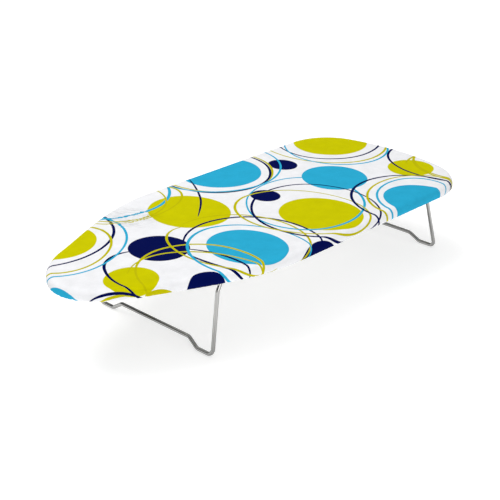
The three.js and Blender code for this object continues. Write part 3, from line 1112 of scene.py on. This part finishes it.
def add_stitches(shape, material):
    """The row of stitches that closes the hem's casing."""
    outline = shape.outline
    step = outline.length / outline.count
    pitch = STITCH_PITCH / step
    reach = STITCH_LENGTH / step / 2
    vertices, faces = [], []

    def place(at, lift):
        """A point on the stitch line, at a station that needn't be whole."""
        i = int(at) % outline.count
        j = (i + 1) % outline.count
        a, b = (Vector(shape.point(k, STITCH_DISTANCE)) for k in (i, j))
        point = a.lerp(b, at - int(at))
        point.z += lift
        return point

    stitches = int(outline.count / pitch)
    for stitch in range(stitches):
        middle = (stitch + 0.5) * outline.count / stitches
        path = [
            place(middle + reach * share, STITCH_RADIUS * lift) for share, lift in STITCH_SHAPE]
        more, sides, _ = swept_mesh(path, STITCH_RADIUS, 6, len(vertices))
        vertices += more
        faces += sides
    return new_object("hem_stitches", vertices, faces, material)


# ---- The other materials ----

# How close together the wire's drawn lines lie round it and along it; their streaks also carry its
# painted reflections.
DRAWN_LINES_AND_REFLECTIONS = (8, 5, 1)
FIBRE_SWIRL = 8 * MM
FIBRE_LINES = (260, 1500, 900)


def wire_material():
    """Bright drawn wire: fine lines along its length, painted reflections in dark and light streaks
    along it, and faint stains.
    """
    material, tree, shader = new_material("leg_wire", Metallic=1.0)
    place = uv_place(tree, "wire")
    lines = add_node(tree, "Mapping", {"Vector": place, "Scale": DRAWN_LINES_AND_REFLECTIONS}).outputs[0]
    drawn = noise_at(tree, lines, 1.0, 3.0, 0.6)
    stains = noise_at(tree, object_place(tree), 60.0, 4.0)
    # Painted reflection: the streaks swing the steel's colour between dark and light, standing in
    # for the dark and bright bands that polished wire reflects. The drawn lines' relief is the
    # bump.
    tone = ramp(tree, drawn, 0.35, 0.62)
    colour = mix_colours(tree, tone, (0.13, 0.13, 0.125, 1), (0.46, 0.46, 0.45, 1))
    rough = calculate(tree, "MULTIPLY_ADD", stains, 0.10, 0.05)
    feed(tree, shader, Base_Color=colour, Roughness=rough)
    add_bump(tree, shader, drawn, 0.005 * MM, 0.2)
    return material


def painted_material():
    """Light grey powder coat with a faint orange-peel skin and patches of dust."""
    material, tree, shader = new_material("painted_steel", Metallic=0.0)
    place = object_place(tree)
    dust = ramp(tree, noise_at(tree, place, 22.0, 5.0, 0.6), 0.35, 0.7)
    colour = mix_colours(tree, dust, (0.66, 0.67, 0.68, 1), (0.58, 0.585, 0.585, 1))
    rough = calculate(tree, "MULTIPLY_ADD", dust, 0.12, 0.38)
    feed(tree, shader, Base_Color=colour, Roughness=rough)
    add_bump(tree, shader, noise_at(tree, place, 900.0, 2.0), 0.03 * MM, 0.4)
    return material


def zinc_material():
    """Zinc plate with a faint spangle and duller patches."""
    material, tree, shader = new_material("zinc_steel", Metallic=1.0)
    place = object_place(tree)
    spangle = add_node(tree, "TexVoronoi", {"Vector": place, "Scale": 420.0}).outputs["Color"]
    grain = add_node(tree, "SeparateColor", {0: spangle}).outputs[0]
    patches = noise_at(tree, place, 90.0, 4.0)
    tone = calculate(tree, "MULTIPLY", grain, patches)
    colour = mix_colours(tree, tone, (0.48, 0.49, 0.50, 1), (0.66, 0.67, 0.68, 1))
    rough = calculate(tree, "MULTIPLY_ADD", patches, 0.25, 0.22)
    feed(tree, shader, Base_Color=colour, Roughness=rough)
    add_bump(tree, shader, grain, 0.02 * MM, 0.3)
    return material


def felt_material():
    """Needled felt: short fibres in every direction, and darker flecks."""
    material, tree, shader = new_material("felt", Roughness=0.95, Sheen_Weight=0.25)
    place = object_place(tree)
    warped = add_node(tree, "TexNoise", {"Vector": place, "Scale": 120.0, "Detail": 2.0})
    swirled = vector_sum(tree, place, scaled(tree, warped.outputs["Color"], FIBRE_SWIRL))
    stretched = add_node(tree, "Mapping", {"Vector": swirled, "Scale": FIBRE_LINES}).outputs[0]
    fibres = noise_at(tree, stretched, 1.0, 4.0, 0.7)
    flecks = ramp(tree, noise_at(tree, place, 1400.0, 2.0), 0.66, 0.72)
    colour = mix_colours(tree, fibres, (0.62, 0.59, 0.53, 1), (0.86, 0.84, 0.78, 1))
    colour = mix_colours(tree, flecks, colour, (0.30, 0.29, 0.28, 1))
    feed(tree, shader, Base_Color=colour)
    add_bump(tree, shader, fibres, 0.35 * MM, 0.8)
    return material


def cord_material(name, colour, pitch):
    """Pale covered cord or thread with a fine twist, and painted shade between its strands."""
    material, tree, shader = new_material(name, Roughness=0.85, Sheen_Weight=0.2)
    place = object_place(tree)
    twist = {"Vector": place, "Scale": wave_scale(pitch), "Distortion": 1.5}
    wave = add_node(tree, "TexWave", twist, bands_direction="DIAGONAL").outputs["Fac"]
    # Painted shade: the colour is darker between the strands.
    groove_shade_colour = opaque([0.78 * part for part in colour])
    painted_groove_shade = mix_colours(tree, wave, groove_shade_colour, opaque(colour))
    feed(tree, shader, Base_Color=painted_groove_shade)
    add_bump(tree, shader, wave, 0.12 * MM, 0.7)
    return material


BRACE_EDGE = 0.35 * MM
SADDLE_EDGE = 0.2 * MM
RIVET_EDGE = 0.15 * MM
# Edges that turn by more than this are softened.
SHARP_ANGLE = math.radians(35)


def dress_cad_nodes(painted, zinc):
    """Materials and softened edges for the CAD nodes that stay in view."""
    for name, node in frame["nodes"].items():
        if name.endswith("_brace"):
            finish, width = painted, BRACE_EDGE
        elif "_saddle_" in name:
            finish, width = zinc, SADDLE_EDGE
        elif "_rivet_" in name:
            finish, width = zinc, RIVET_EDGE
        else:
            continue
        node.data.materials.clear()
        node.data.materials.append(finish)
        node.data.polygons.foreach_set("use_smooth", [True] * len(node.data.polygons))
        bevel = node.modifiers.new("edges", "BEVEL")
        bevel.width = width
        bevel.segments = 2
        bevel.limit_method = "ANGLE"
        bevel.angle_limit = SHARP_ANGLE
        bevel.harden_normals = True


# ---- Floor, studio and finish ----

FLOOR_SIZE = 12
FLOOR_GLOW = 0.55
# The world's brightness by the height looked towards, from 0 (level) to 1 (straight up):
# a stretch of heights, and the brightness at its two ends.
WALLS = (0.20, 0.30, 0.85, 0.0)
CEILING = (0.60, 0.80, 0.0, 0.95)


def floor_material():
    """A pale studio floor that glows a little, as one lit through from below does."""
    material, tree, shader = new_material("floor", Roughness=0.9, Specular_IOR_Level=0.1)
    place = object_place(tree)
    tone = ramp(tree, noise_at(tree, place, 6.0), 0.3, 0.7)
    colour = mix_colours(tree, tone, (0.66, 0.66, 0.66, 1), (0.67, 0.67, 0.67, 1))
    feed(tree, shader, Base_Color=colour)
    shader.inputs["Emission Color"].default_value = (1, 1, 1, 1)
    shader.inputs["Emission Strength"].default_value = FLOOR_GLOW
    return material


def add_floor():
    corners = [(x * FLOOR_SIZE, y * FLOOR_SIZE, 0) for x, y in ((-1, -1), (1, -1), (1, 1), (-1, 1))]
    floor = new_object("floor", corners, [[0, 1, 2, 3]], floor_material())


def add_board_pieces():
    """Everything that rides on the board's body."""
    painted = painted_material()
    shape = CoverShape()
    cover = add_cover(shape, cotton_material())
    pad = add_pad(felt_material())
    sheet = add_steel_mesh(painted)
    tube = add_edge_tube(painted)
    cord = add_elastic(cord_material("elastic", (0.80, 0.79, 0.76), 0.7 * MM))
    stitches = add_stitches(shape, cord_material("thread", (0.86, 0.86, 0.85), 0.25 * MM))
    rows = (
        (cover, "cover", "printed_cotton"), (pad, "foam_pad", "felt"),
        (sheet, "mesh_top", "painted_steel"), (tube, "edge_frame", "painted_steel"),
        (cord, "hem_elastic", "elastic"), (stitches, None, "printed_cotton"),
    )
    for piece, node, slot in rows:
        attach(piece, "board")
        if node:
            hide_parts(node)
    dress_cad_nodes(painted, zinc_material())
    outline = shape.outline
    x, y = outline.at(EDGE_RADIUS - SECTION_LENGTH).T


def add_world():
    """A studio with pale low walls and a bright ceiling, and a dark band between the two."""
    world = bpy.data.worlds.new("studio")
    world.use_nodes = True
    tree = world.node_tree
    way = add_node(tree, "TexCoord").outputs["Generated"]
    height = add_node(tree, "SeparateXYZ", {0: way}).outputs[2]
    glow = calculate(tree, "ADD", ramp(tree, height, *WALLS), ramp(tree, height, *CEILING))
    background = tree.nodes["Background"]
    background.inputs["Color"].default_value = (1, 1, 1, 1)
    tree.links.new(glow, background.inputs["Strength"])
    bpy.context.scene.world = world


bpy.context.scene.view_settings.view_transform = "Standard"
add_camera()
add_world()
for light_values in LIGHTS:
    add_area_light(*light_values)
add_floor()
add_board_pieces()
wire = wire_material()
for leg_name in LEG_SIDES:
    add_leg(leg_name, wire)
